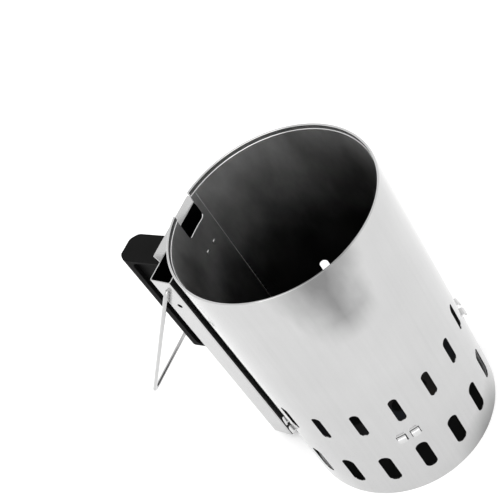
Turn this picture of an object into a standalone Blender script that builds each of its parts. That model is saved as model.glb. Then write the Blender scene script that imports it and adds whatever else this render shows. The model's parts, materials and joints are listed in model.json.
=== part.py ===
"""Chimney charcoal starter: a hemmed steel cylinder with vent slots, a charcoal grate on tabs,
a full-height heat shield, a moulded loop grip and a swinging wire bail.

Frame: +Z up, the base rests on z = 0, the handle side faces -X. The origin is the centre of the
object's footprint, so the cylinder's own axis stands at x = AXIS_X.
"""

import math

import bmesh
import bpy
from mathutils import Matrix, Vector

# ---------------------------------------------------------------- driving dimensions, in metres
MM = 0.001
GAP = 0.3 * MM                      # clearance between neighbouring pieces
CUT = 10.0 * MM                     # how far a cutter reaches past each face of a thin sheet

HEIGHT = 305.0 * MM
SHELL_RADIUS = 95.25 * MM           # outside
SHEET = 1.0 * MM
HEM_THICKNESS = 2.2 * MM            # folded rim and foot
HEM_DEPTH = 5.5 * MM
HEM_EDGE = 0.6 * MM                 # chamfer along the rim
SHELL_SEGMENTS = 80

NOTCH_WIDTH = 27.0 * MM
NOTCH_DEPTH = 32.0 * MM
NOTCH_CORNER = 4.0 * MM

SEAM_ANGLES = (-19.0, -12.0)        # lap strip, degrees from the handle's centre plane
SEAM_THICKNESS = 0.8 * MM

SLOT_PITCH = 21.7                   # degrees between neighbouring slots
SLOT_PAIRS = 6                      # slots on each side of the one opposite the handle
UPPER_SLOT = {"low": 102.0 * MM, "high": 134.5 * MM, "width": 8.6 * MM}
LOWER_SLOT = {"low": 23.5 * MM, "high": 62.0 * MM, "width": 12.0 * MM}

GRATE_TOP = 84.0 * MM                # midway between the two rows of slots
GRATE_RADIUS = 92.6 * MM
GRATE_THICKNESS = 1.5 * MM
GRATE_LIP = 8.0 * MM
GRATE_HOLE = 15.0 * MM
GRATE_HOLE_PITCH = 24.0 * MM
GRATE_HOLE_REACH = 78.0 * MM        # the hole centres stay inside this radius
TAB_PAIR_ANGLES = (-134.5, -56.0, 56.0, 134.5)  # degrees from the handle's centre plane
TAB_SPACING = 4.0                   # degrees from a pair's middle to each tab
TAB_WIDTH = 8.0 * MM
TAB_PLAY = 0.7 * MM                 # free space above and beside a tab in its window
TAB_BEND = 98.0 * MM                # where a tab turns down, from the cylinder's axis
TAB_REACH = 98.8 * MM               # the tip, from the cylinder's axis
TAB_DROP = 4.5 * MM                 # from the bend down to the tip
TAB_WINDOW_DEPTH = 9.0 * MM         # from the grate's top to the window's sill

SHIELD_TOP = 268.0 * MM
SHIELD_FOOT = 12.0 * MM
SHIELD_FACE = 119.5 * MM            # outer face of the plate, from the cylinder's axis
SHIELD_BACK = 95.6 * MM             # inner face of the return flanges
SHIELD_HALF_WIDTH = 56.5 * MM
SHIELD_BACK_HALF_WIDTH = 58.5 * MM
SHIELD_FLANGE_INNER = 2.0 * MM
SHIELD_BEND = 2.0 * MM
TONGUE_HALF_WIDTH = 36.5 * MM
TONGUE_TIP_HALF_WIDTH = 34.5 * MM
TONGUE_OUT = 5.5 * MM
TONGUE_UP = 5.5 * MM

GRIP_TOP = 234.0 * MM
GRIP_FOOT = 92.0 * MM
GRIP_FACE = 206.5 * MM              # outermost face, from the cylinder's axis
GRIP_HALF_WIDTH = 16.5 * MM
GRIP_CHAMFER = (8.0 * MM, 7.0 * MM)  # outward, sideways
GRIP_TOP_CORNER = 1.5 * MM
GRIP_FOOT_CORNER = 7.0 * MM
GRIP_RECESS_DEPTH = 5.0 * MM
GRIP_RECESS = {"inner": 132.0 * MM, "outer": 190.5 * MM, "rim": 3.0 * MM, "corner": 7.0 * MM}
GRIP_WINDOW = {"inner": 134.0 * MM, "outer": 176.0 * MM, "rim": 22.0 * MM, "corner": 12.0 * MM}

BAIL_WIRE = 4.0 * MM                # diameter
BAIL_PIVOT_OUT = 106.8 * MM         # from the cylinder's axis
BAIL_PIVOT_Z = 254.5 * MM
BAIL_LENGTH = 238.0 * MM
BAIL_SWING = 35.6                   # degrees from straight down
BAIL_LEG = 61.0 * MM                # from the middle plane to each leg's centre
BAIL_END = 53.5 * MM                # from the middle plane to each end's face
BAIL_BEND = 7.0 * MM
BAIL_HEAD = 6.8 * MM                # diameter of the flattened ends
BAIL_HEAD_THICKNESS = 1.4 * MM
SPARE_HOLE = {"out": 106.0 * MM, "z": 233.0 * MM, "diameter": 5.4 * MM}

RIVET_SIDE = 6.0 * MM
RIVET_HEIGHTS = (246.0 * MM, 150.0 * MM, 46.0 * MM)
RIVET_SHANK = 2.6 * MM
RIVET_HEAD = 4.8 * MM
RIVET_HEAD_HEIGHT = 1.2 * MM

SCREW_SIDE = 8.0 * MM
SCREW_END_DISTANCE = 11.0 * MM      # from the grip's ends
SCREW_SHANK = 4.4 * MM
SCREW_LENGTH = 12.0 * MM
SCREW_HEAD = 9.0 * MM
SCREW_HEAD_HEIGHT = 3.2 * MM
SCREW_HEAD_EDGE = 1.2 * MM          # how far the head's edge is rounded back
SCREW_SOCKET = {"reach": 1.6 * MM, "depth": 1.6 * MM}
WASHER = {"outer": 11.0 * MM, "thickness": 1.0 * MM}
INSERT = {"outer": 7.2 * MM, "length": 11.5 * MM, "bottom": 1.5 * MM}

# The bail's crossbar is the object's outermost point on -X and the cylinder is the one on +X.
BAIL_REACH = BAIL_PIVOT_OUT + BAIL_LENGTH * math.sin(math.radians(BAIL_SWING)) + BAIL_WIRE / 2
AXIS_X = (BAIL_REACH - SHELL_RADIUS) / 2


# ---------------------------------------------------------------- frames and outlines
def place(out, side, z):
    """A point given by its distance from the cylinder's axis toward the handle, its distance
    from the middle plane toward -Y, and its height."""
    return Vector((AXIS_X - out, -side, z))


def on_cylinder(radius, degrees, z):
    """A point at a radius and at an angle from the handle's centre plane."""
    angle = math.radians(degrees)
    return place(radius * math.cos(angle), radius * math.sin(angle), z)


def handle_frame(out, side, z):
    """A matrix whose Z axis points from the cylinder toward the handle."""
    turn = Matrix.Rotation(math.radians(-90), 4, "Y")
    return Matrix.Translation(place(out, side, z)) @ turn


def radial_frame(degrees):
    """A matrix at the cylinder's axis whose X axis points out at an angle from the handle."""
    return Matrix.Translation((AXIS_X, 0, 0)) @ Matrix.Rotation(math.radians(180 + degrees), 4, "Z")


def filleted(points, radii, steps=3, closed=True):
    """Replace each corner of a path by an arc. The radius is one for all corners or one for each."""
    points = [Vector(point) for point in points]
    if not isinstance(radii, tuple):
        radii = (radii,) * len(points)
    rounded = []
    for index, corner in enumerate(points):
        if not closed and index in (0, len(points) - 1):
            rounded.append(corner)
            continue
        radius = radii[index]
        before = (points[index - 1] - corner).normalized()
        after = (points[(index + 1) % len(points)] - corner).normalized()
        half = before.angle(after) / 2
        reach = radius / math.tan(half)
        centre = corner + (before + after).normalized() * radius / math.sin(half)
        start = corner + before * reach - centre
        turn = math.pi - 2 * half
        axis = after.cross(before)
        for step in range(steps + 1):
            rounded.append(centre + Matrix.Rotation(turn * step / steps, 3, axis) @ start)
    return rounded


def rectangle(low_u, high_u, low_v, high_v):
    return [(low_u, low_v, 0), (high_u, low_v, 0), (high_u, high_v, 0), (low_u, high_v, 0)]


def sheet_outline(path, thickness):
    """The closed outline of a bent sheet whose middle line is the path."""
    path = [Vector(point) for point in path]
    left = []
    right = []
    for index, point in enumerate(path):
        before = (point - path[index - 1]).normalized() if index else None
        after = (path[index + 1] - point).normalized() if index < len(path) - 1 else None
        along = ((before or after) + (after or before)).normalized()
        normal = Vector((-along.y, along.x, 0))
        stretch = 1 / max(normal.dot(Vector((-(after or before).y, (after or before).x, 0))), 0.2)
        left.append(point + normal * stretch * thickness / 2)
        right.append(point - normal * stretch * thickness / 2)
    return left + right[::-1]


# ---------------------------------------------------------------- meshes and objects
def make_object(name, bm, material=None):
    bmesh.ops.recalc_face_normals(bm, faces=bm.faces)
    mesh = bpy.data.meshes.new(name)
    bm.to_mesh(mesh)
    bm.free()
    obj = bpy.data.objects.new(name, mesh)
    bpy.context.scene.collection.objects.link(obj)
    if material:
        mesh.materials.append(material)
        mesh.shade_smooth()
        mesh.set_sharp_from_angle(angle=math.radians(35))
    else:
        obj.hide_render = True
        obj.display_type = "WIRE"
    return obj


def add_prism(bm, outline, low, high, frame=None):
    """Add a closed prism of an outline in XY, from low to high along the frame's Z axis."""
    frame = frame or Matrix.Identity(4)
    bottom = [bm.verts.new(frame @ Vector((point[0], point[1], low))) for point in outline]
    top = [bm.verts.new(frame @ Vector((point[0], point[1], high))) for point in outline]
    bm.faces.new(bottom[::-1])
    bm.faces.new(top)
    for index in range(len(outline)):
        following = (index + 1) % len(outline)
        bm.faces.new((bottom[index], bottom[following], top[following], top[index]))


def add_turned(bm, profile, segments, frame=None, closed=False):
    """Add a turned solid. A closed profile is a ring's section; an open one starts and ends on
    the axis."""
    frame = frame or Matrix.Identity(4)
    rings = []
    for radius, z in profile:
        if radius < 1e-9:
            rings.append([bm.verts.new(frame @ Vector((0, 0, z)))] * segments)
            continue
        ring = []
        for step in range(segments):
            angle = 2 * math.pi * step / segments
            point = Vector((radius * math.cos(angle), radius * math.sin(angle), z))
            ring.append(bm.verts.new(frame @ point))
        rings.append(ring)
    spans = len(rings) if closed else len(rings) - 1
    for index in range(spans):
        ring = rings[index]
        following_ring = rings[(index + 1) % len(rings)]
        for step in range(segments):
            following = (step + 1) % segments
            corners = [ring[step], ring[following], following_ring[following], following_ring[step]]
            bm.faces.new(list(dict.fromkeys(corners)))


def add_cylinder(bm, radius, low, high, frame, segments=16):
    add_turned(bm, [(0, low), (radius, low), (radius, high), (0, high)], segments, frame)


def boolean(obj, cutter, operation="DIFFERENCE"):
    modifier = obj.modifiers.new(operation.lower(), "BOOLEAN")
    modifier.operation = operation
    modifier.solver = "EXACT"
    modifier.object = cutter


def make_material(name, colour, roughness, metallic):
    material = bpy.data.materials.new(name)
    material.use_nodes = True
    shader = material.node_tree.nodes["Principled BSDF"]
    shader.inputs["Base Color"].default_value = (*colour, 1)
    shader.inputs["Roughness"].default_value = roughness
    shader.inputs["Metallic"].default_value = metallic
    return material


# ---------------------------------------------------------------- the cylinder
def shell_section():
    """The wall's section: a hem folded inward at the rim and at the foot."""
    outer = SHELL_RADIUS
    hem = SHELL_RADIUS - HEM_THICKNESS
    inner = SHELL_RADIUS - SHEET
    rim = [
        (outer, HEIGHT - HEM_EDGE),
        (outer - HEM_EDGE, HEIGHT),
        (hem + HEM_EDGE, HEIGHT),
        (hem, HEIGHT - HEM_EDGE),
        (hem, HEIGHT - HEM_DEPTH),
        (inner, HEIGHT - HEM_DEPTH),
    ]
    foot = [
        (inner, HEM_DEPTH),
        (hem, HEM_DEPTH),
        (hem, 0),
        (outer, 0),
    ]
    return rim + foot


def add_slot(bm, degrees, low, high, width):
    """A vertical slot with round ends, cut radially through the wall."""
    frame = radial_frame(degrees) @ Matrix.Rotation(math.radians(90), 4, "Y")
    reach = width / 2
    outline = filleted(rectangle(-high, -low, -reach, reach), reach * 0.98, steps=5)
    add_prism(bm, outline, SHELL_RADIUS - CUT, SHELL_RADIUS + CUT, frame)


def add_rivet_holes(bm):
    for z in RIVET_HEIGHTS:
        for side in (-RIVET_SIDE, RIVET_SIDE):
            frame = handle_frame(0, side, z)
            add_cylinder(bm, RIVET_SHANK / 2 + GAP, SHELL_RADIUS - CUT, SHELL_RADIUS + CUT, frame)


def shell_cutters():
    bm = bmesh.new()
    for index in range(-SLOT_PAIRS, SLOT_PAIRS + 1):
        for slot in (UPPER_SLOT, LOWER_SLOT):
            add_slot(bm, 180 + index * SLOT_PITCH, slot["low"], slot["high"], slot["width"])
    for degrees in tab_angles():
        frame = radial_frame(degrees)
        reach = TAB_WIDTH / 2 + TAB_PLAY
        window = rectangle(SHELL_RADIUS - CUT, SHELL_RADIUS + CUT, -reach, reach)
        add_prism(bm, window, GRATE_TOP - TAB_WINDOW_DEPTH, GRATE_TOP + TAB_PLAY, frame)
    notch = filleted(
        rectangle(-NOTCH_DEPTH, NOTCH_DEPTH, -NOTCH_WIDTH / 2, NOTCH_WIDTH / 2),
        NOTCH_CORNER,
    )
    frame = handle_frame(0, 0, HEIGHT)
    add_prism(bm, notch, SHELL_RADIUS - CUT, SHELL_RADIUS + CUT, frame)
    add_rivet_holes(bm)
    return make_object("shell_cutters", bm)


def lap_strip():
    """The overlap of the sheet's two ends, on the inside of the wall."""
    bm = bmesh.new()
    steps = 4
    low, high = SEAM_ANGLES
    outer_radius = SHELL_RADIUS - SHEET / 2
    inner_radius = SHELL_RADIUS - SHEET - SEAM_THICKNESS
    angles = [low + (high - low) * step / steps for step in range(steps + 1)]
    outer = [on_cylinder(outer_radius, angle, 0) for angle in angles]
    inner = [on_cylinder(inner_radius, angle, 0) for angle in reversed(angles)]
    add_prism(bm, outer + inner, HEM_DEPTH / 2, HEIGHT - HEM_DEPTH / 2)
    return make_object("lap_strip", bm)


def build_shell(material):
    bm = bmesh.new()
    add_turned(bm, shell_section(), SHELL_SEGMENTS, radial_frame(0), closed=True)
    shell = make_object("chimney_shell", bm, material)
    boolean(shell, lap_strip(), "UNION")
    boolean(shell, shell_cutters())


# ---------------------------------------------------------------- the charcoal grate
def tab_angles():
    return [pair + side * TAB_SPACING for pair in TAB_PAIR_ANGLES for side in (-1, 1)]


def grate_tabs():
    """Flat tabs that reach through the wall, their ends turned out and down outside it."""
    bm = bmesh.new()
    half = GRATE_THICKNESS / 2
    middle = GRATE_TOP - half
    path = [
        (GRATE_RADIUS - 2 * MM, middle, 0),
        (TAB_BEND, middle, 0),
        (TAB_REACH, middle - TAB_DROP, 0),
    ]
    section = sheet_outline(filleted(path, GRATE_THICKNESS, closed=False), GRATE_THICKNESS)
    for degrees in tab_angles():
        frame = radial_frame(degrees) @ Matrix.Rotation(math.radians(90), 4, "X")
        add_prism(bm, section, -TAB_WIDTH / 2, TAB_WIDTH / 2, frame)
    return make_object("grate_tabs", bm)


def grate_holes():
    bm = bmesh.new()
    row_height = GRATE_HOLE_PITCH * math.sqrt(3) / 2
    for row in range(-4, 5):
        for column in range(-4, 5):
            x = (column + (row % 2) / 2) * GRATE_HOLE_PITCH
            y = row * row_height
            if math.hypot(x, y) > GRATE_HOLE_REACH:
                continue
            frame = Matrix.Translation((AXIS_X + x, y, 0))
            add_cylinder(bm, GRATE_HOLE / 2, GRATE_TOP - CUT, GRATE_TOP + CUT, frame, 10)
    return make_object("grate_holes", bm)


def build_grate(material):
    low = GRATE_TOP - GRATE_THICKNESS
    lip_inner = GRATE_RADIUS - GRATE_THICKNESS
    profile = [
        (0, GRATE_TOP),
        (GRATE_RADIUS, GRATE_TOP),
        (GRATE_RADIUS, GRATE_TOP - GRATE_LIP),
        (lip_inner, GRATE_TOP - GRATE_LIP),
        (lip_inner, low),
        (0, low),
    ]
    bm = bmesh.new()
    add_turned(bm, profile, 64, radial_frame(0))
    grate = make_object("charcoal_grate", bm, material)
    boolean(grate, grate_tabs(), "UNION")
    boolean(grate, grate_holes())


# ---------------------------------------------------------------- the heat shield
def shield_outline():
    face = SHIELD_FACE - SHEET / 2
    back = SHIELD_BACK + SHEET / 2
    middle = SHEET / 2
    front_side = SHIELD_HALF_WIDTH - middle
    back_side = SHIELD_BACK_HALF_WIDTH - middle
    path = [
        (back, -SHIELD_FLANGE_INNER, 0),
        (back, -back_side, 0),
        (face, -front_side, 0),
        (face, front_side, 0),
        (back, back_side, 0),
        (back, SHIELD_FLANGE_INNER, 0),
    ]
    bends = filleted(path, SHIELD_BEND, closed=False)
    return [place(point.x, point.y, 0) for point in sheet_outline(bends, SHEET)]


def shield_tongue():
    """The plate's flared top edge: it leans out over the grip and narrows a little."""
    bm = bmesh.new()
    middle = SHIELD_FACE - SHEET / 2
    thin = SHEET * 0.45
    stations = (
        (middle, SHIELD_TOP - 0.8 * MM, TONGUE_HALF_WIDTH),
        (middle, SHIELD_TOP + 0.8 * MM, TONGUE_HALF_WIDTH),
        (middle + TONGUE_OUT, SHIELD_TOP + TONGUE_UP, TONGUE_TIP_HALF_WIDTH),
    )
    loops = []
    for out, z, half in stations:
        lean = thin if z < SHIELD_TOP else thin * math.sqrt(2) / 2
        drop = 0 if z < SHIELD_TOP + 1 * MM else thin * math.sqrt(2) / 2
        corners = (
            place(out - lean, -half, z + drop),
            place(out - lean, half, z + drop),
            place(out + lean, half, z - drop),
            place(out + lean, -half, z - drop),
        )
        loops.append([bm.verts.new(corner) for corner in corners])
    bm.faces.new(loops[0])
    bm.faces.new(loops[-1])
    for lower, upper in zip(loops, loops[1:]):
        for index in range(4):
            following = (index + 1) % 4
            bm.faces.new((lower[index], lower[following], upper[following], upper[index]))
    return make_object("shield_tongue", bm)


def screw_places():
    """Side offset and height of each grip screw, named by where it sits."""
    heights = {"top": GRIP_TOP - SCREW_END_DISTANCE, "foot": GRIP_FOOT + SCREW_END_DISTANCE}
    sides = {"near": SCREW_SIDE, "far": -SCREW_SIDE}
    return [(f"{end}_{side}", sides[side], heights[end]) for end in heights for side in sides]


def shield_holes():
    bm = bmesh.new()
    add_rivet_holes(bm)
    for _, side, z in screw_places():
        frame = handle_frame(0, side, z)
        add_cylinder(bm, SCREW_SHANK / 2 + GAP, SHIELD_FACE - CUT, SHIELD_FACE + CUT, frame)
    across = Matrix.Rotation(math.radians(90), 4, "X")
    holes = (
        (BAIL_PIVOT_OUT, BAIL_PIVOT_Z, BAIL_WIRE / 2 + GAP),
        (SPARE_HOLE["out"], SPARE_HOLE["z"], SPARE_HOLE["diameter"] / 2),
    )
    for out, z, radius in holes:
        for side in (-1, 1):
            frame = Matrix.Translation(place(out, side * SHIELD_HALF_WIDTH, z)) @ across
            add_cylinder(bm, radius, -CUT, CUT, frame)
    return make_object("shield_holes", bm)


def build_shield(material):
    bm = bmesh.new()
    add_prism(bm, shield_outline(), SHIELD_FOOT, SHIELD_TOP)
    shield = make_object("heat_shield", bm, material)
    boolean(shield, shield_tongue(), "UNION")
    boolean(shield, shield_holes())


# ---------------------------------------------------------------- the grip
def side_prism(name, outline, half_width, middle=0):
    """A prism across the handle, from an outline in distance out and height."""
    bm = bmesh.new()
    points = [(AXIS_X - point[0], point[1]) for point in outline]
    frame = Matrix.Rotation(math.radians(90), 4, "X")
    add_prism(bm, points, middle - half_width, middle + half_width, frame)
    return make_object(name, bm)


def grip_loop(spec):
    """The outline of an opening in the grip's side, in distance out and height."""
    low = GRIP_FOOT + spec["rim"]
    high = GRIP_TOP - spec["rim"]
    outline = rectangle(spec["inner"], spec["outer"], low, high)
    return filleted(outline, spec["corner"], steps=4)


def grip_plan(material):
    """The grip's block, seen from above: chamfered at its outer corners."""
    chamfer_out, chamfer_side = GRIP_CHAMFER
    inner = SHIELD_FACE + GAP
    half = [
        (inner, GRIP_HALF_WIDTH),
        (GRIP_FACE - chamfer_out, GRIP_HALF_WIDTH),
        (GRIP_FACE, GRIP_HALF_WIDTH - chamfer_side),
    ]
    outline = half + [(out, -side) for out, side in reversed(half)]
    bm = bmesh.new()
    add_prism(bm, [place(out, side, 0) for out, side in outline], GRIP_FOOT, GRIP_TOP)
    return make_object("grip", bm, material)


def grip_sockets():
    bm = bmesh.new()
    for _, side, z in screw_places():
        frame = handle_frame(0, side, z)
        depth = SHIELD_FACE + GAP + INSERT["length"] + GAP * 2
        add_cylinder(bm, INSERT["outer"] / 2 + GAP, SHIELD_FACE - 2 * MM, depth, frame)
    return make_object("grip_sockets", bm)


def build_grip(material):
    grip = grip_plan(material)
    block = rectangle(SHIELD_FACE - 2 * CUT, GRIP_FACE + GAP, GRIP_FOOT - GAP, GRIP_TOP + GAP)
    corners = (GRIP_FOOT_CORNER, GRIP_FOOT_CORNER, GRIP_TOP_CORNER, GRIP_TOP_CORNER)
    ends = side_prism("grip_ends", filleted(block, corners, steps=5), GRIP_HALF_WIDTH * 2)
    boolean(grip, ends, "INTERSECT")
    window = side_prism("grip_window", grip_loop(GRIP_WINDOW), GRIP_HALF_WIDTH * 2)
    boolean(grip, window)
    for name, middle in (("recess_near", GRIP_HALF_WIDTH), ("recess_far", -GRIP_HALF_WIDTH)):
        boolean(grip, side_prism(name, grip_loop(GRIP_RECESS), GRIP_RECESS_DEPTH, middle))
    boolean(grip, grip_sockets())


# ---------------------------------------------------------------- the bail
def bail_path():
    """Centre line of the wire in its own frame: hinge on Y, crossbar straight below it."""
    corners = [
        (0, -BAIL_END, 0),
        (0, -BAIL_LEG, 0),
        (0, -BAIL_LEG, -BAIL_LENGTH),
        (0, BAIL_LEG, -BAIL_LENGTH),
        (0, BAIL_LEG, 0),
        (0, BAIL_END, 0),
    ]
    ends = filleted(corners[:3], BAIL_WIRE, steps=4, closed=False)
    crossbar = filleted(corners[1:5], BAIL_BEND, steps=6, closed=False)
    far = filleted(corners[3:], BAIL_WIRE, steps=4, closed=False)
    return ends[:-1] + crossbar[1:-1] + far[1:]


def wire_mesh(path):
    """The mesh of a round wire along a path that lies in the YZ plane."""
    curve = bpy.data.curves.new("bail_wire", "CURVE")
    curve.dimensions = "3D"
    curve.bevel_depth = BAIL_WIRE / 2
    curve.bevel_resolution = 3
    curve.use_fill_caps = True
    spline = curve.splines.new("POLY")
    spline.points.add(len(path) - 1)
    for point, position in zip(spline.points, path):
        point.co = (*position, 1)
    carrier = bpy.data.objects.new("bail_wire", curve)
    mesh = bpy.data.meshes.new_from_object(carrier)
    bpy.data.objects.remove(carrier)
    return mesh


def build_bail(material):
    mesh = wire_mesh(bail_path())
    bm = bmesh.new()
    bm.from_mesh(mesh)
    bmesh.ops.remove_doubles(bm, verts=bm.verts, dist=1e-6)
    bpy.data.meshes.remove(mesh)
    bail = make_object("bail", bm, material)
    heads = bmesh.new()
    across = Matrix.Rotation(math.radians(90), 4, "X")
    half = BAIL_HEAD_THICKNESS / 2
    for side in (-1, 1):
        frame = Matrix.Translation((0, side * (BAIL_END + half / 2), 0)) @ across
        add_cylinder(heads, BAIL_HEAD / 2, -half, half, frame, 14)
    flattened = make_object("bail_heads", heads)
    boolean(bail, flattened, "UNION")
    pivot = Matrix.Translation(place(BAIL_PIVOT_OUT, 0, BAIL_PIVOT_Z))
    swing = Matrix.Rotation(math.radians(BAIL_SWING), 4, "Y")
    for obj in (bail, flattened):
        obj.matrix_world = pivot @ swing


# ---------------------------------------------------------------- fasteners
def build_rivets(material):
    inner_face = math.sqrt((SHELL_RADIUS - SHEET) ** 2 - (RIVET_SIDE + RIVET_HEAD / 2) ** 2) - GAP
    outer_face = SHIELD_BACK + SHEET + GAP
    shank = RIVET_SHANK / 2
    head = RIVET_HEAD / 2
    domed = RIVET_HEAD_HEIGHT
    profile = [
        (0, inner_face - domed),
        (head * 0.7, inner_face - domed),
        (head, inner_face - domed / 3),
        (head, inner_face),
        (shank, inner_face),
        (shank, outer_face),
        (head, outer_face),
        (head, outer_face + domed / 3),
        (head * 0.7, outer_face + domed),
        (0, outer_face + domed),
    ]
    heights = dict(zip(("top", "middle", "foot"), RIVET_HEIGHTS))
    for level, z in heights.items():
        for side_name, side in (("near", RIVET_SIDE), ("far", -RIVET_SIDE)):
            bm = bmesh.new()
            add_turned(bm, profile, 14, handle_frame(0, side, z))
            make_object(f"shield_rivet_{level}_{side_name}", bm, material)


def build_grip_fasteners(steel, brass):
    plate_inside = SHIELD_FACE - SHEET - GAP
    washer_inside = plate_inside - WASHER["thickness"]
    head_outer = washer_inside - GAP
    head_inner = head_outer - SCREW_HEAD_HEIGHT
    shank = SCREW_SHANK / 2
    socket_floor = head_inner + SCREW_SOCKET["depth"]
    screw = [
        (0, socket_floor),
        (SCREW_SOCKET["reach"], socket_floor),
        (SCREW_SOCKET["reach"], head_inner),
        (SCREW_HEAD / 2 - SCREW_HEAD_EDGE, head_inner),
        (SCREW_HEAD / 2, head_inner + SCREW_HEAD_EDGE),
        (SCREW_HEAD / 2, head_outer),
        (shank, head_outer),
        (shank, head_outer + SCREW_LENGTH),
        (0, head_outer + SCREW_LENGTH),
    ]
    washer = [
        (shank + GAP, washer_inside),
        (WASHER["outer"] / 2, washer_inside),
        (WASHER["outer"] / 2, plate_inside),
        (shank + GAP, plate_inside),
    ]
    start = SHIELD_FACE + GAP * 2
    end = start + INSERT["length"] - GAP
    insert = [
        (0, end),
        (INSERT["outer"] / 2, end),
        (INSERT["outer"] / 2, start),
        (shank + GAP, start),
        (shank + GAP, end - INSERT["bottom"]),
        (0, end - INSERT["bottom"]),
    ]
    for label, side, z in screw_places():
        frame = handle_frame(0, side, z)
        bm = bmesh.new()
        add_turned(bm, screw, 14, frame)
        make_object(f"grip_screw_{label}", bm, steel)
        bm = bmesh.new()
        add_turned(bm, washer, 16, frame, closed=True)
        make_object(f"grip_washer_{label}", bm, steel)
        bm = bmesh.new()
        add_turned(bm, insert, 14, frame)
        make_object(f"grip_insert_{label}", bm, brass)


def main():
    for obj in list(bpy.data.objects):
        bpy.data.objects.remove(obj, do_unlink=True)
    stainless = make_material("brushed_stainless", (0.72, 0.72, 0.73), 0.32, 1.0)
    shield_steel = make_material("shield_stainless", (0.74, 0.74, 0.75), 0.28, 1.0)
    grate_steel = make_material("grate_steel", (0.42, 0.42, 0.43), 0.5, 1.0)
    wire_steel = make_material("wire_steel", (0.62, 0.62, 0.63), 0.3, 1.0)
    fastener_steel = make_material("fastener_steel", (0.55, 0.55, 0.56), 0.35, 1.0)
    brass = make_material("insert_brass", (0.62, 0.45, 0.18), 0.35, 1.0)
    resin = make_material("black_resin", (0.012, 0.012, 0.013), 0.5, 0.0)
    build_shell(stainless)
    build_grate(grate_steel)
    build_shield(shield_steel)
    build_grip(resin)
    build_bail(wire_steel)
    build_rivets(fastener_steel)
    build_grip_fasteners(fastener_steel, brass)


main()
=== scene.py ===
"""Chimney charcoal starter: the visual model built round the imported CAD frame.

Everything is in metres in the CAD's own frame: +Z up, the foot on z = 0, the handle toward -X.
Each CAD node is replaced by a finer piece of the same size in the same place.
"""

import json
import math

import bmesh
import bpy
from mathutils import Matrix, Vector


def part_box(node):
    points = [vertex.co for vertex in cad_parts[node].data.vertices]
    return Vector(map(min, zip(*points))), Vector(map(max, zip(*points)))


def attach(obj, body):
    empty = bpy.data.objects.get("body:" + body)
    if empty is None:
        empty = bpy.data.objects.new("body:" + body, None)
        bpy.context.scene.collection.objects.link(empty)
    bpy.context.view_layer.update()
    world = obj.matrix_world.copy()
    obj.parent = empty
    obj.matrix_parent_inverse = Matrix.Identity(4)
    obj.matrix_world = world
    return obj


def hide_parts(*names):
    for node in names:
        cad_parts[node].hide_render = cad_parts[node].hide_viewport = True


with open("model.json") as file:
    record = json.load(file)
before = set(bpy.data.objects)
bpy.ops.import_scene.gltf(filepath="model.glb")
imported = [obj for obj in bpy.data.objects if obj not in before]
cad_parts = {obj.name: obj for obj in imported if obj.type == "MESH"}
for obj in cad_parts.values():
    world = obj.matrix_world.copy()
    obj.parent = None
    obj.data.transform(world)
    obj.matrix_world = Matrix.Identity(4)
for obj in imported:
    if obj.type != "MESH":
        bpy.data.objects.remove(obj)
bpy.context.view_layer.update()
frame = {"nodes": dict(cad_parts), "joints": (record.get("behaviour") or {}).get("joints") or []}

MM = 0.001
UP = Vector((0, 0, 1))
CHIMNEY = "chimney"
BAIL_BODY = "bail_handle"

# ---------------------------------------------------------------- sizes read from the frame
SHELL_LOW, SHELL_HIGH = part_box("chimney_shell")
SHELL_RADIUS = (SHELL_HIGH.y - SHELL_LOW.y) / 2
HEIGHT = SHELL_HIGH.z
AXIS_X = (SHELL_HIGH.x + SHELL_LOW.x) / 2

SHIELD_LOW, SHIELD_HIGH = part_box("heat_shield")
SHIELD_FOOT = SHIELD_LOW.z
SHIELD_BACK = AXIS_X - SHIELD_HIGH.x
SHIELD_BACK_HALF_WIDTH = SHIELD_HIGH.y

GRIP_LOW, GRIP_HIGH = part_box("grip")
GRIP_TOP = GRIP_HIGH.z
GRIP_FOOT = GRIP_LOW.z
GRIP_FACE = AXIS_X - GRIP_LOW.x
GRIP_INNER = AXIS_X - GRIP_HIGH.x
GRIP_HALF_WIDTH = GRIP_HIGH.y

BAIL_JOINT = frame["joints"][0]
PIVOT = Vector(BAIL_JOINT["pos_m"])

# ---------------------------------------------------------------- sizes that a box doesn't give
GAP = 0.3 * MM
CUT = 10.0 * MM
SHEET = 1.0 * MM
SHELL_SEGMENTS = 240
SHELL_RINGS = 24
MERGE_DISTANCE = 0.004 * MM
SLIVER_LENGTH = 0.002 * MM
HEM_THICKNESS = 2.2 * MM
HEM_DEPTH = 5.5 * MM
HEM_FOLD = 1.5 * MM                 # how far the slit behind the folded leaf runs in
HEM_BURR = 0.45 * MM                # how far the leaf's lower edge stands proud
FOOT_EDGE = 0.5 * MM

NOTCH_WIDTH = 27.0 * MM
NOTCH_DEPTH = 32.0 * MM
NOTCH_CORNER = 4.0 * MM

SEAM_ANGLES = (-19.0, -12.0)        # degrees from the handle's centre plane
SEAM_THICKNESS = 0.8 * MM
SEAM_EDGE = 0.25 * MM

SLOT_PITCH = 21.7                   # degrees
SLOT_PAIRS = 6
SLOTS = (
    {"low": 102.0 * MM, "high": 134.5 * MM, "width": 8.6 * MM},
    {"low": 23.5 * MM, "high": 62.0 * MM, "width": 12.0 * MM},
)

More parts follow.
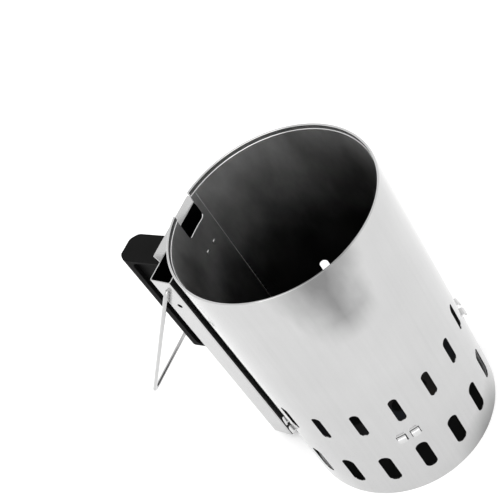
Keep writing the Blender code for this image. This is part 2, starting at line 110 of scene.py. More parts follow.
GRATE_TOP = 84.0 * MM
GRATE_RADIUS = 92.6 * MM
GRATE_THICKNESS = 1.5 * MM
GRATE_LIP = 8.0 * MM
GRATE_BEND = 2.2 * MM
GRATE_HOLE = 15.0 * MM
GRATE_HOLE_PITCH = 24.0 * MM
GRATE_HOLE_REACH = 78.0 * MM
GRATE_RINGS = (0.04, 0.25, 0.5, 0.75)  # the floor's rings, as shares of its flat radius
TAB_PAIR_ANGLES = (-134.5, -56.0, 56.0, 134.5)
TAB_SPACING = 4.0                   # degrees
TAB_WIDTH = 8.0 * MM
TAB_PLAY = 0.7 * MM
TAB_BEND = 98.0 * MM
TAB_REACH = 98.8 * MM
TAB_DROP = 4.5 * MM
TAB_CORNER = 2.4 * MM
TAB_WINDOW_DEPTH = 9.0 * MM         # from the grate's top to the window's sill

SHIELD_TOP = 268.0 * MM
SHIELD_FACE = 119.5 * MM
SHIELD_HALF_WIDTH = 56.5 * MM
SHIELD_FLANGE_INNER = 2.0 * MM
SHIELD_BEND = 2.0 * MM
TONGUE_HALF_WIDTH = 36.5 * MM
TONGUE_TIP_HALF_WIDTH = 34.5 * MM
TONGUE_REACH = 5.5 * MM             # both outward and upward
TONGUE_BEND = 2.5 * MM
TONGUE_CORNER = 0.6 * MM
TONGUE_ROOT = 3.0 * MM              # how far its strip runs down into the plate
TONGUE_SHARE = 0.96                 # its thickness, as a share of the sheet's

GRIP_CHAMFER = (8.0 * MM, 7.0 * MM)
GRIP_CHAMFER_ROUND = 9.0 * MM
GRIP_TOP_CORNER = 1.8 * MM
GRIP_FOOT_CORNER = 7.0 * MM
GRIP_EDGE = 0.9 * MM
GRIP_RECESS_DEPTH = 5.0 * MM
GRIP_RECESS = {"inner": 132.0 * MM, "outer": 190.5 * MM, "rim": 3.0 * MM, "corner": 7.0 * MM}
GRIP_WINDOW = {"inner": 134.0 * MM, "outer": 176.0 * MM, "rim": 22.0 * MM, "corner": 12.0 * MM}

BAIL_WIRE = 4.0 * MM
BAIL_PIVOT_OUT = AXIS_X - PIVOT.x
BAIL_LENGTH = 238.0 * MM
BAIL_SWING = 35.6                   # degrees from straight down
BAIL_LEG = 61.0 * MM
BAIL_END = 53.5 * MM
BAIL_BEND = 7.0 * MM
BAIL_HEAD = 6.8 * MM
BAIL_HEAD_THICKNESS = 1.4 * MM
SPARE_HOLE = {"out": 106.0 * MM, "z": 233.0 * MM, "diameter": 5.4 * MM}

RIVET_SHANK = 2.6 * MM
RIVET_HEAD = 4.8 * MM
RIVET_HEAD_HEIGHT = 1.2 * MM

SCREW_SHANK = 4.4 * MM
SCREW_HEAD = 9.0 * MM
SCREW_HEAD_HEIGHT = 3.2 * MM
SCREW_HEAD_EDGE = 1.2 * MM
SCREW_SOCKET = {"reach": 1.6 * MM, "depth": 1.6 * MM}
INSERT_WALL_END = 1.5 * MM
KNURL_TEETH = 28
KNURL_DEPTH = 0.2 * MM


# ---------------------------------------------------------------- frames and outlines
def place(out, side, z):
    """A point from its distance toward the handle, its distance toward -Y, and its height."""
    return Vector((AXIS_X - out, -side, z))


def on_cylinder(radius, degrees, z):
    """A point at a radius and at an angle from the handle's centre plane."""
    angle = math.radians(degrees)
    return place(radius * math.cos(angle), radius * math.sin(angle), z)


def handle_frame(out, side, z):
    """A matrix whose Z axis points from the cylinder toward the handle."""
    return Matrix.Translation(place(out, side, z)) @ Matrix.Rotation(math.radians(-90), 4, "Y")


def radial_frame(degrees):
    """A matrix at the cylinder's axis whose X axis points out at an angle from the handle."""
    return Matrix.Translation((AXIS_X, 0, 0)) @ Matrix.Rotation(math.radians(180 + degrees), 4, "Z")


def filleted(points, radii, steps=8, closed=True):
    """Replace each corner of a path by an arc. The radii are one number, or one for each corner."""
    points = [Vector(point) for point in points]
    if not isinstance(radii, tuple):
        radii = (radii,) * len(points)
    rounded = []
    for index, corner in enumerate(points):
        if not closed and index in (0, len(points) - 1):
            rounded.append(corner)
            continue
        radius = radii[index]
        before = (points[index - 1] - corner).normalized()
        after = (points[(index + 1) % len(points)] - corner).normalized()
        half = before.angle(after) / 2
        centre = corner + (before + after).normalized() * radius / math.sin(half)
        start = corner + before * radius / math.tan(half) - centre
        turn = math.pi - 2 * half
        axis = after.cross(before)
        for step in range(steps + 1):
            rounded.append(centre + Matrix.Rotation(turn * step / steps, 3, axis) @ start)
    return rounded


def rectangle(low_u, high_u, low_v, high_v):
    return [(low_u, low_v, 0), (high_u, low_v, 0), (high_u, high_v, 0), (low_u, high_v, 0)]


def arc(centre_u, centre_v, radius, start, end, steps):
    """Points on an arc in a plane, between two angles in degrees."""
    angles = [math.radians(start + (end - start) * step / steps) for step in range(steps + 1)]
    return [(centre_u + radius * math.cos(a), centre_v + radius * math.sin(a)) for a in angles]


def sheet_outline(path, thickness):
    """The closed outline of a bent sheet whose middle line is the path."""
    path = [Vector(point) for point in path]
    left = []
    right = []
    for index, point in enumerate(path):
        before = (point - path[index - 1]).normalized() if index else None
        after = (path[index + 1] - point).normalized() if index < len(path) - 1 else None
        along = ((before or after) + (after or before)).normalized()
        across = Vector((-along.y, along.x, 0))
        straight = after or before
        stretch = 1 / max(across.dot(Vector((-straight.y, straight.x, 0))), 0.2)
        left.append(point + across * stretch * thickness / 2)
        right.append(point - across * stretch * thickness / 2)
    return left + right[::-1]


def rounded_tip(line, corner):
    """Add the points near a strip's tip where its corners are rounded."""
    tip = line[-1]
    run = (tip - line[-2]).normalized()
    return line[:-1] + [tip - run * corner * share for share in (1, 0.6, 0.3, 0.1, 0)]


# ---------------------------------------------------------------- meshes and pieces
def make_object(name, bm, *materials):
    bmesh.ops.recalc_face_normals(bm, faces=bm.faces)
    mesh = bpy.data.meshes.new(name)
    bm.to_mesh(mesh)
    bm.free()
    obj = bpy.data.objects.new(name, mesh)
    bpy.context.scene.collection.objects.link(obj)
    for material in materials:
        mesh.materials.append(material)
    return obj


def add_prism(bm, outline, low, high, matrix=None):
    """Add a closed prism of an outline in XY, from low to high along the matrix's Z axis."""
    matrix = matrix or Matrix.Identity(4)
    bottom = [bm.verts.new(matrix @ Vector((point[0], point[1], low))) for point in outline]
    top = [bm.verts.new(matrix @ Vector((point[0], point[1], high))) for point in outline]
    bm.faces.new(bottom[::-1])
    bm.faces.new(top)
    for index in range(len(outline)):
        following = (index + 1) % len(outline)
        bm.faces.new((bottom[index], bottom[following], top[following], top[index]))


def add_turned(bm, profile, segments, matrix=None, closed=False, ripple=None):
    """Add a turned solid. A closed profile is a ring's section; an open one starts and ends on
    the axis. A ripple is (teeth, depth, profile indices) for a knurl."""
    matrix = matrix or Matrix.Identity(4)
    rings = []
    for index, (radius, z) in enumerate(profile):
        if radius < 1e-9:
            rings.append([bm.verts.new(matrix @ Vector((0, 0, z)))] * segments)
            continue
        ring = []
        for step in range(segments):
            angle = 2 * math.pi * step / segments
            reach = radius
            if ripple and index in ripple[2]:
                reach -= ripple[1] * (0.5 + 0.5 * math.cos(ripple[0] * angle))
            point = Vector((reach * math.cos(angle), reach * math.sin(angle), z))
            ring.append(bm.verts.new(matrix @ point))
        rings.append(ring)
    spans = len(rings) if closed else len(rings) - 1
    for index in range(spans):
        ring = rings[index]
        following_ring = rings[(index + 1) % len(rings)]
        for step in range(segments):
            following = (step + 1) % segments
            corners = [ring[step], ring[following], following_ring[following], following_ring[step]]
            bm.faces.new(list(dict.fromkeys(corners)))


def add_cylinder(bm, radius, low, high, matrix, segments=32):
    add_turned(bm, [(0, low), (radius, low), (radius, high), (0, high)], segments, matrix)


def add_strip(bm, line, thickness, half_width, corner, matrix):
    """Add a bent strip. The line gives distance out and height, half_width gives the strip's half
    width at a point of it, and the far end has rounded corners."""
    line = rounded_tip(line, corner)
    outline = sheet_outline(line, thickness)
    loops = []
    for index, point in enumerate(line):
        half = half_width(point)
        from_tip = (line[-1] - point).length
        if from_tip < corner:
            half -= corner - math.sqrt(corner**2 - (corner - from_tip) ** 2)
        first = outline[index]
        second = outline[-1 - index]
        corners = [(first, -half), (first, half), (second, half), (second, -half)]
        points = [Vector((spot.x, side, spot.y)) for spot, side in corners]
        loops.append([bm.verts.new(matrix @ point) for point in points])
    bm.faces.new(loops[0])
    bm.faces.new(loops[-1])
    for lower, upper in zip(loops, loops[1:]):
        for index in range(4):
            following = (index + 1) % 4
            bm.faces.new((lower[index], lower[following], upper[following], upper[index]))


def apply_modifiers(obj):
    graph = bpy.context.evaluated_depsgraph_get()
    mesh = bpy.data.meshes.new_from_object(obj.evaluated_get(graph))
    obj.modifiers.clear()
    obj.data = mesh


def boolean(obj, cutter, operation="DIFFERENCE"):
    """Apply one Boolean to a piece and remove its cutter."""
    modifier = obj.modifiers.new(operation.lower(), "BOOLEAN")
    modifier.operation = operation
    modifier.solver = "EXACT"
    modifier.object = cutter
    apply_modifiers(obj)
    bpy.data.objects.remove(cutter)


def clean(obj):
    """Merge the points that a Boolean leaves almost on top of each other, and drop slivers."""
    bm = bmesh.new()
    bm.from_mesh(obj.data)
    bmesh.ops.remove_doubles(bm, verts=bm.verts, dist=MERGE_DISTANCE)
    bmesh.ops.dissolve_degenerate(bm, edges=bm.edges, dist=SLIVER_LENGTH)
    bm.to_mesh(obj.data)
    bm.free()


def finish_piece(obj, body, node, sharp=35):
    """Shade a piece, tie it to its body, and hide the CAD node it stands in for."""
    obj.data.shade_smooth()
    obj.data.set_sharp_from_angle(angle=math.radians(sharp))
    weighted = obj.modifiers.new("weighted_normals", "WEIGHTED_NORMAL")
    weighted.keep_sharp = True
    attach(obj, body)
    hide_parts(node)


# ---------------------------------------------------------------- camera
CAMERA_PLACE = Vector((0.6236, -0.4676, 0.9152))
CAMERA_AIM = Vector((-0.0059, 0.0239, 0.2113))
CAMERA_ROLL = -0.6209               # radians about the line of sight
CAMERA_LENS = 83.76                 # mm
CAMERA_SENSOR = 36                  # mm


def add_camera():
    data = bpy.data.cameras.new("view")
    data.lens = CAMERA_LENS
    data.sensor_width = CAMERA_SENSOR
    camera = bpy.data.objects.new("view", data)
    bpy.context.scene.collection.objects.link(camera)
    forward = (CAMERA_AIM - CAMERA_PLACE).normalized()
    right = forward.cross(UP).normalized()
    up = right.cross(forward)
    cosine = math.cos(CAMERA_ROLL)
    sine = math.sin(CAMERA_ROLL)
    axis_x = right * cosine + up * sine
    axis_y = up * cosine - right * sine
    turn = Matrix((axis_x, axis_y, -forward)).transposed().to_4x4()
    camera.matrix_world = Matrix.Translation(CAMERA_PLACE) @ turn
    bpy.context.scene.camera = camera


# ---------------------------------------------------------------- materials
FLAT = (1, 1, 0)                    # factors that drop a position's height
GRAIN_ALONG_Z = (1, 1, 0.03)
HALF_ALONG_Z = (1, 1, 0.5)

OUTER_STEEL = (0.475, 0.515)        # darkest and brightest tone
SHIELD_STEEL = (0.49, 0.55)
# painted shade: near-black tones for the shield's faces in the duct and on its flange
SHIELD_SHADE_TONES = (0.01, 0.03)
WIRE_STEEL = (0.40, 0.53)
PLATED_STEEL = (0.42, 0.60)
RESIN = (0.003, 0.006)
BRASS_LOW = (0.50, 0.35, 0.13, 1)
BRASS_HIGH = (0.66, 0.49, 0.22, 1)

# painted reflection: a dark patch hanging from the rim on the outer wall
RIM_REFLECTION_TONE = 0.19
RIM_REFLECTION_ANGLE = 141.0                  # degrees from the handle's centre plane
RIM_REFLECTION_DEPTH = (54.0 * MM, 82.0 * MM)
RIM_REFLECTION_REACH = (20.0 * MM, 60.0 * MM)
RIM_REFLECTION_TAPER = 0.28                   # how fast the patch narrows with depth
RIM_REFLECTION_DRIFT = 26.0 * MM
# painted reflection: a faint dark patch up the outer wall from the foot
FOOT_REFLECTION_TONE = 0.25
FOOT_REFLECTION_ANGLE = -178.0
FOOT_REFLECTION_HEIGHT = (2.0 * MM, 34.0 * MM)
FOOT_REFLECTION_REACH = (14.0 * MM, 52.0 * MM)

# painted shade inside the wall: dark far down, with painted light toward the rim
INNER_SHADE_TONE = 0.06                   # the inner wall's tone below, and its tone at the rim
INNER_RIM_LIGHT_TONE = 0.95
INNER_SHADE_DEPTH = (HEIGHT - 110.0 * MM, HEIGHT + 42.0 * MM)
INNER_SHADE_DRIFT = 70.0 * MM
# painted shade: the inner wall darkens further round the grate's height
DEEP_SHADE_TONE = 0.012
DEEP_SHADE_HEIGHT = (70.0 * MM, 135.0 * MM)
# painted highlight on the lap's inner edge
LAP_EDGE_HIGHLIGHT_TONE = 0.9
# painted shade on the hem's leaf, and a painted mid-grey line along its lower edge standing in for
# the light on that edge
HEM_LEAF_SHADE_TONE = 0.05
HEM_EDGE_LINE_TONE = 0.3

# the grate's dark tones are painted shade inside the wall; GRATE_OUTSIDE is its plain steel on the
# tabs outside
GRATE_STRAW = (0.030, 0.024, 0.019, 1)
GRATE_BLUE = (0.019, 0.022, 0.028, 1)
GRATE_ASH = 0.035
GRATE_OUTSIDE = 0.56


class Nodes:
    """A small builder for one material's node tree."""

    def __init__(self, name):
        self.material = bpy.data.materials.new(name)
        self.material.use_nodes = True
        self.tree = self.material.node_tree
        self.shader = self.tree.nodes["Principled BSDF"]

    def add(self, kind, inputs=None, **settings):
        node = self.tree.nodes.new(kind)
        for key, value in settings.items():
            setattr(node, key, value)
        for key, value in (inputs or {}).items():
            self.feed(node.inputs[key], value)
        return node

    def feed(self, socket, value):
        if isinstance(value, bpy.types.NodeSocket):
            self.tree.links.new(value, socket)
        else:
            socket.default_value = value

    def set(self, **inputs):
        for key, value in inputs.items():
            self.feed(self.shader.inputs[key.replace("_", " ")], value)

    def maths(self, operation, first, second=0.0):
        node = self.add("ShaderNodeMath", operation=operation)
        self.feed(node.inputs[0], first)
        self.feed(node.inputs[1], second)
        return node.outputs[0]

    def position(self):
        return self.add("ShaderNodeTexCoord").outputs["Object"]

    def moved(self, vector, shift, factors=(1, 1, 1)):
        """A position measured from another point, and stretched."""
        centred = self.add("ShaderNodeVectorMath", {0: vector, 1: shift}, operation="SUBTRACT")
        inputs = {0: centred.outputs[0], 1: factors}
        return self.add("ShaderNodeVectorMath", inputs, operation="MULTIPLY").outputs[0]

    def length(self, vector):
        return self.add("ShaderNodeVectorMath", {0: vector}, operation="LENGTH").outputs["Value"]

    def noise(self, vector, scale, detail=3.0, roughness=0.5):
        inputs = {"Vector": vector, "Scale": scale, "Detail": detail, "Roughness": roughness}
        return self.add("ShaderNodeTexNoise", inputs).outputs["Fac"]

    def spread(self, value, low, high, to_low, to_high):
        """A value's range mapped to another, clamped at both ends."""
        inputs = {"Value": value, "From Min": low, "From Max": high}
        inputs.update({"To Min": to_low, "To Max": to_high})
        return self.add("ShaderNodeMapRange", inputs).outputs[0]

    def mix(self, factor, first, second):
        node = self.add("ShaderNodeMix", data_type="RGBA")
        self.feed(node.inputs["Factor"], factor)
        self.feed(node.inputs[6], first)
        self.feed(node.inputs[7], second)
        return node.outputs[2]

    def blend(self, factor, first, second):
        """The same as mix, for numbers."""
        node = self.add("ShaderNodeMix", data_type="FLOAT")
        self.feed(node.inputs["Factor"], factor)
        self.feed(node.inputs[2], first)
        self.feed(node.inputs[3], second)
        return node.outputs[0]

    def bump(self, height, strength, distance):
        inputs = {"Strength": strength, "Distance": distance, "Height": height}
        self.set(Normal=self.add("ShaderNodeBump", inputs).outputs[0])


def grey(value):
    return (value, value, value, 1)


def steel_grain(nodes, position):
    """Fine rolling lines along Z, and the broad waviness of thin sheet."""
    lines = nodes.noise(nodes.moved(position, (0, 0, 0), GRAIN_ALONG_Z), 1400, 4, 0.65)
    waves = nodes.noise(position, 14, 2, 0.5)
    return lines, waves


def add_sheet_bump(nodes, lines, waves):
    height = nodes.maths("ADD", nodes.maths("MULTIPLY", lines, 0.06), waves)
    nodes.bump(height, 0.12, 0.4 * MM)


def rim_painted_reflection(nodes, position, height):
    """A painted dark reflection that hangs from the rim and narrows to a point below it."""
    middle = on_cylinder(SHELL_RADIUS, RIM_REFLECTION_ANGLE, 0)
    side = nodes.length(nodes.moved(position, tuple(middle), FLAT))
    depth = nodes.maths("SUBTRACT", HEIGHT, height)
    drift = nodes.noise(nodes.moved(position, (0, 0, 0), HALF_ALONG_Z), 45, 3, 0.5)
    reach = nodes.maths("ADD", side, nodes.maths("MULTIPLY", depth, RIM_REFLECTION_TAPER))
    reach = nodes.maths("ADD", reach, nodes.maths("MULTIPLY", drift, RIM_REFLECTION_DRIFT))
    spread = nodes.spread(reach, *RIM_REFLECTION_REACH, 1, 0)
    return nodes.maths("MULTIPLY", spread, nodes.spread(depth, *RIM_REFLECTION_DEPTH, 1, 0))


def foot_painted_reflection(nodes, position, height):
    """A faint painted dark reflection that fades up the wall from the foot, opposite the handle."""
    middle = on_cylinder(SHELL_RADIUS, FOOT_REFLECTION_ANGLE, 0)
    side = nodes.length(nodes.moved(position, tuple(middle), FLAT))
    spread = nodes.spread(side, *FOOT_REFLECTION_REACH, 1, 0)
    return nodes.maths("MULTIPLY", spread, nodes.spread(height, *FOOT_REFLECTION_HEIGHT, 1, 0))


def outer_colour(nodes, position, height):
    """Bright satin steel with two painted dark reflections, one hanging from the rim and one at the
    foot.
    """
    cloud = nodes.noise(position, 20, 2, 0.5)
    streaks = nodes.noise(nodes.moved(position, (0, 0, 0), GRAIN_ALONG_Z), 260, 3, 0.6)
    half_cloud = nodes.maths("MULTIPLY", cloud, 0.5)
    tone = nodes.maths("ADD", nodes.maths("MULTIPLY", streaks, 0.5), half_cloud)
    low, high = OUTER_STEEL
    colour = nodes.mix(nodes.spread(tone, 0.3, 0.7, 0, 1), grey(low), grey(high))
    colour = nodes.mix(rim_painted_reflection(nodes, position, height), colour, grey(RIM_REFLECTION_TONE))
    return nodes.mix(foot_painted_reflection(nodes, position, height), colour, grey(FOOT_REFLECTION_TONE))


def inner_light_share(nodes, position, height):
    """How much painted light the inner wall gets against painted shade: 0 far down and 1 at the
    rim, with drifting edges.
    """
    shade_noise = nodes.noise(nodes.moved(position, (0, 0, 0), HALF_ALONG_Z), 38, 4, 0.55)
    level = nodes.maths("ADD", height, nodes.maths("MULTIPLY", shade_noise, INNER_SHADE_DRIFT))
    return nodes.spread(level, *INNER_SHADE_DEPTH, 0, 1)


def inner_colour(nodes, position, height, lit_share):
    """Painted shade on the inner wall, darkest at the grate and lightest at the rim, with a painted
    highlight on the lap edge, painted shade on the hem's leaf and a painted mid-grey line along the
    hem's lower edge.
    """
    fade = nodes.maths("POWER", lit_share, 2.0)
    colour = nodes.mix(fade, grey(INNER_SHADE_TONE), grey(INNER_RIM_LIGHT_TONE))
    # painted shade, darker still toward the grate
    painted_shade = nodes.spread(height, *DEEP_SHADE_HEIGHT, 1, 0)
    colour = nodes.mix(painted_shade, colour, grey(DEEP_SHADE_TONE))
    # painted highlight along the lap's inner edge
    lap_edge = on_cylinder(SHELL_RADIUS - SHEET - SEAM_THICKNESS / 2, SEAM_ANGLES[1], 0)
    from_lap = nodes.length(nodes.moved(position, tuple(lap_edge), FLAT))
    lap_highlight_share = nodes.spread(from_lap, 0.42 * MM, 0.5 * MM, 1, 0)
    colour = nodes.mix(lap_highlight_share, colour, grey(LAP_EDGE_HIGHLIGHT_TONE))
    # painted shade on the hem's leaf, then a painted mid-grey line along its lower edge
    above_hem = nodes.maths("SUBTRACT", height, HEIGHT - HEM_DEPTH + HEM_BURR)
    leaf_shade_share = nodes.spread(above_hem, 0.5 * MM, 0.9 * MM, 0, 0.45)
    colour = nodes.mix(leaf_shade_share, colour, grey(HEM_LEAF_SHADE_TONE))
    from_hem = nodes.maths("ABSOLUTE", above_hem)
    hem_line_share = nodes.spread(from_hem, 0.2 * MM, 0.5 * MM, 0.6, 0)
    return nodes.mix(hem_line_share, colour, grey(HEM_EDGE_LINE_TONE))


def shell_steel():
    """Satin steel outside; inside, duller steel with painted shade that deepens downward and
    painted light near the folded rim.
    """
    nodes = Nodes("shell_steel")
    position = nodes.position()
    lines, waves = steel_grain(nodes, position)
    height = nodes.add("ShaderNodeSeparateXYZ", {0: position}).outputs["Z"]
    radius = nodes.length(nodes.moved(position, (AXIS_X, 0, 0), FLAT))
    within = nodes.spread(radius, SHELL_RADIUS - 0.9 * MM, SHELL_RADIUS - 0.5 * MM, 1, 0)
    below_rim = nodes.spread(height, HEIGHT - 1.9 * MM, HEIGHT - 0.9 * MM, 1, 0)
    inside = nodes.maths("MULTIPLY", within, below_rim)

    lit_share = inner_light_share(nodes, position, height)
    outer = outer_colour(nodes, position, height)
    inner = inner_colour(nodes, position, height, lit_share)
    nodes.set(Base_Color=nodes.mix(inside, outer, inner), Metallic=1.0)
    outer_rough = nodes.spread(lines, 0.3, 0.7, 0.11, 0.17)
    inner_rough = nodes.spread(lit_share, 0, 1, 0.3, 0.42)
    nodes.set(Roughness=nodes.blend(inside, outer_rough, inner_rough))
    add_sheet_bump(nodes, lines, waves)
    return nodes.material


def plain_sheet(name, tones, roughness):
    """Satin sheet of one tone, with cloudy colour and a fine grain."""
    nodes = Nodes(name)
    position = nodes.position()
    lines, waves = steel_grain(nodes, position)
    cloud = nodes.noise(position, 26, 4, 0.55)
    nodes.set(Base_Color=nodes.mix(cloud, grey(tones[0]), grey(tones[1])), Metallic=1.0)
    nodes.set(Roughness=nodes.spread(lines, 0.3, 0.7, *roughness))
    add_sheet_bump(nodes, lines, waves)
    return nodes.material


def grate_steel():
    """Steel darkened by painted shade inside the wall, with straw and blue temper tints and
    ash-grey patches in it, and clean steel on the tabs outside the wall."""
    nodes = Nodes("grate_steel")
    position = nodes.position()
    patches = nodes.noise(position, 40, 5, 0.6)
    tint = nodes.noise(position, 13, 2, 0.5)
    temper = nodes.mix(nodes.spread(tint, 0.35, 0.65, 0, 1), GRATE_STRAW, GRATE_BLUE)
    ash = nodes.spread(patches, 0.45, 0.65, 0, 0.6)
    radius = nodes.length(nodes.moved(position, (AXIS_X, 0, 0), FLAT))
    outside = nodes.spread(radius, SHELL_RADIUS - 1.5 * MM, SHELL_RADIUS, 0, 1)
    # painted shade: the grate is dark wherever it is inside the wall
    painted_shade = nodes.mix(ash, temper, grey(GRATE_ASH))
    nodes.set(Base_Color=nodes.mix(outside, painted_shade, grey(GRATE_OUTSIDE)), Metallic=0.95)
    inner_part_rough = nodes.spread(patches, 0.3, 0.7, 0.38, 0.62)
    nodes.set(Roughness=nodes.blend(outside, inner_part_rough, 0.25))
    nodes.bump(nodes.noise(position, 1500, 3, 0.6), 0.2, 0.15 * MM)
    return nodes.material


def moulded_resin():
    """Black resin with a fine spark-eroded mould texture."""
    nodes = Nodes("moulded_resin")
    position = nodes.position()
    pits = nodes.noise(position, 1900, 4, 0.7)
    flow = nodes.noise(nodes.moved(position, (0, 0, 0), (1, 1, 0.3)), 45, 3, 0.5)
    nodes.set(Base_Color=nodes.mix(flow, grey(RESIN[0]), grey(RESIN[1])), Metallic=0.0)
    nodes.set(Roughness=nodes.spread(pits, 0.3, 0.7, 0.46, 0.62), Specular_IOR_Level=0.035)
    nodes.bump(nodes.maths("ADD", pits, nodes.maths("MULTIPLY", flow, 0.4)), 0.22, 0.12 * MM)
    return nodes.material


def drawn_wire():
    """Plated wire with fine lines left by the drawing die."""
    nodes = Nodes("drawn_wire")
    position = nodes.position()
    lines = nodes.noise(nodes.moved(position, (0, 0, 0), (1, 1, 0.05)), 2200, 3, 0.6)
    dull = nodes.noise(position, 60, 4, 0.6)
    nodes.set(Base_Color=nodes.mix(dull, grey(WIRE_STEEL[0]), grey(WIRE_STEEL[1])), Metallic=1.0)
    nodes.set(Roughness=nodes.spread(dull, 0.3, 0.7, 0.08, 0.16))
    nodes.bump(lines, 0.06, 0.03 * MM)
    return nodes.material


def plated(name, low, high):
    """A turned, plated fastener's finish with faint lathe marks."""
    nodes = Nodes(name)
    position = nodes.position()
    marks = nodes.noise(nodes.moved(position, (0, 0, 0), (8, 1, 1)), 900, 2, 0.5)
    worn = nodes.noise(position, 240, 4, 0.6)
    nodes.set(Base_Color=nodes.mix(nodes.spread(worn, 0.35, 0.65, 0, 1), low, high), Metallic=1.0)
    nodes.set(Roughness=nodes.spread(worn, 0.3, 0.7, 0.25, 0.42))
    nodes.bump(marks, 0.12, 0.05 * MM)
    return nodes.material


# ---------------------------------------------------------------- the cylinder
def shell_section():
    """The wall's section. The sheet is folded in and down at the rim, and in and up at the foot;
    behind each folded leaf is a narrow slit, and the upper leaf's edge stands a little proud."""
    outer = SHELL_RADIUS
    fold = HEM_THICKNESS / 2
    wall = SHELL_RADIUS - SHEET
    leaf = SHELL_RADIUS - HEM_THICKNESS
    slit = leaf + SHEET
    rim = arc(outer - fold, HEIGHT - fold, fold, 0, 180, 10)
    leaf_down = [
        (leaf, HEIGHT - HEM_DEPTH + HEM_BURR * 2),
        (leaf - HEM_BURR, HEIGHT - HEM_DEPTH + HEM_BURR),
        (leaf - HEM_BURR * 0.8, HEIGHT - HEM_DEPTH + HEM_BURR * 0.3),
        (leaf, HEIGHT - HEM_DEPTH),
        (slit, HEIGHT - HEM_DEPTH),
        (slit, HEIGHT - HEM_DEPTH + HEM_FOLD),
        (wall, HEIGHT - HEM_DEPTH + HEM_FOLD),
    ]
    high = HEIGHT - HEM_DEPTH - HEM_FOLD
    low = HEM_DEPTH + HEM_FOLD
    heights = [high + (low - high) * ring / SHELL_RINGS for ring in range(SHELL_RINGS + 1)]
    inner_wall = [(wall, z) for z in heights]
    foot = [
        (wall, HEM_DEPTH - HEM_FOLD),
        (slit, HEM_DEPTH - HEM_FOLD),
        (slit, HEM_DEPTH),
        (leaf, HEM_DEPTH - FOOT_EDGE / 2),
        (leaf, FOOT_EDGE),
        (leaf + FOOT_EDGE, 0),
        (outer - FOOT_EDGE, 0),
        (outer, FOOT_EDGE),
    ]
    outer_wall = [(outer, z) for z in reversed(heights)]
    return rim + leaf_down + inner_wall + foot + outer_wall


def add_slot(bm, degrees, low, high, width):
    """A vertical slot with round ends, cut radially through the wall."""
    matrix = radial_frame(degrees) @ Matrix.Rotation(math.radians(90), 4, "Y")
    reach = width / 2
    outline = filleted(rectangle(-high, -low, -reach, reach), reach * 0.98, steps=9)
    add_prism(bm, outline, SHELL_RADIUS - CUT, SHELL_RADIUS + CUT, matrix)


def rivet_nodes():
    return sorted(name for name in frame["nodes"] if name.startswith("shield_rivet_"))


def side_and_height(node):
    """A fastener's distance toward -Y and its height."""
    low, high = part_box(node)
    return -(low.y + high.y) / 2, (low.z + high.z) / 2


def add_rivet_holes(bm):
    for node in rivet_nodes():
        side, z = side_and_height(node)
        matrix = handle_frame(0, side, z)
        add_cylinder(bm, RIVET_SHANK / 2 + GAP, SHELL_RADIUS - CUT, SHELL_RADIUS + CUT, matrix)


def shell_cutters():
    bm = bmesh.new()
    for index in range(-SLOT_PAIRS, SLOT_PAIRS + 1):
        for slot in SLOTS:
            add_slot(bm, 180 + index * SLOT_PITCH, slot["low"], slot["high"], slot["width"])
    for degrees in tab_angles():
        reach = TAB_WIDTH / 2 + TAB_PLAY
        window = rectangle(SHELL_RADIUS - CUT, SHELL_RADIUS + CUT, -reach, reach)
        low = GRATE_TOP - TAB_WINDOW_DEPTH
        add_prism(bm, window, low, GRATE_TOP + TAB_PLAY, radial_frame(degrees))
    half = NOTCH_WIDTH / 2
    notch = filleted(rectangle(-NOTCH_DEPTH, NOTCH_DEPTH, -half, half), NOTCH_CORNER)
    add_prism(bm, notch, SHELL_RADIUS - CUT, SHELL_RADIUS + CUT, handle_frame(0, 0, HEIGHT))
    add_rivet_holes(bm)
    return make_object("shell_cutters", bm)


def lap_strip():
    """The overlap of the sheet's two ends, inside the wall, with its cut edges eased."""
    low, high = SEAM_ANGLES
    face = SHELL_RADIUS - SHEET - SEAM_THICKNESS
    ease = math.degrees(SEAM_EDGE / SHELL_RADIUS)
    steps = 8
    angles = [low + ease + (high - low - 2 * ease) * step / steps for step in range(steps + 1)]
    inner = [on_cylinder(face, angle, 0) for angle in reversed(angles)]
    shoulder = face + SEAM_EDGE
    root = SHELL_RADIUS - SHEET / 2
    outline = [on_cylinder(root, angle, 0) for angle in angles]
    outline += [on_cylinder(root, high, 0), on_cylinder(shoulder, high, 0)]
    outline += inner
    outline += [on_cylinder(shoulder, low, 0), on_cylinder(root, low, 0)]
    bm = bmesh.new()
    add_prism(bm, outline, HEM_DEPTH / 2, HEIGHT - HEM_DEPTH / 2)
    return make_object("lap_strip", bm)


def build_shell(material):
    bm = bmesh.new()
    add_turned(bm, shell_section(), SHELL_SEGMENTS, radial_frame(0), closed=True)
    shell = make_object("hemmed_wall", bm, material)
    boolean(shell, lap_strip(), "UNION")
    boolean(shell, shell_cutters())
    clean(shell)
    finish_piece(shell, CHIMNEY, "chimney_shell")


# ---------------------------------------------------------------- the charcoal grate
def tab_angles():
    return [pair + side * TAB_SPACING for pair in TAB_PAIR_ANGLES for side in (-1, 1)]


def grate_section():
    """Half of the pan's section: a flat floor and a short lip turned down round its edge. It
    starts beside the axis, inside the middle hole."""
    low = GRATE_TOP - GRATE_THICKNESS
    foot = GRATE_TOP - GRATE_LIP
    lip_inner = GRATE_RADIUS - GRATE_THICKNESS
    inner_bend = GRATE_BEND - GRATE_THICKNESS
    bend_u = GRATE_RADIUS - GRATE_BEND
    bend_v = GRATE_TOP - GRATE_BEND
    over = [(bend_u * share, GRATE_TOP) for share in GRATE_RINGS]
    under = [(bend_u * share, low) for share in reversed(GRATE_RINGS)]
    outside = arc(bend_u, bend_v, GRATE_BEND, 90, 0, 6)
    inside = arc(bend_u, bend_v, inner_bend, 0, 90, 6)
    return over + outside + [(GRATE_RADIUS, foot), (lip_inner, foot)] + inside + under


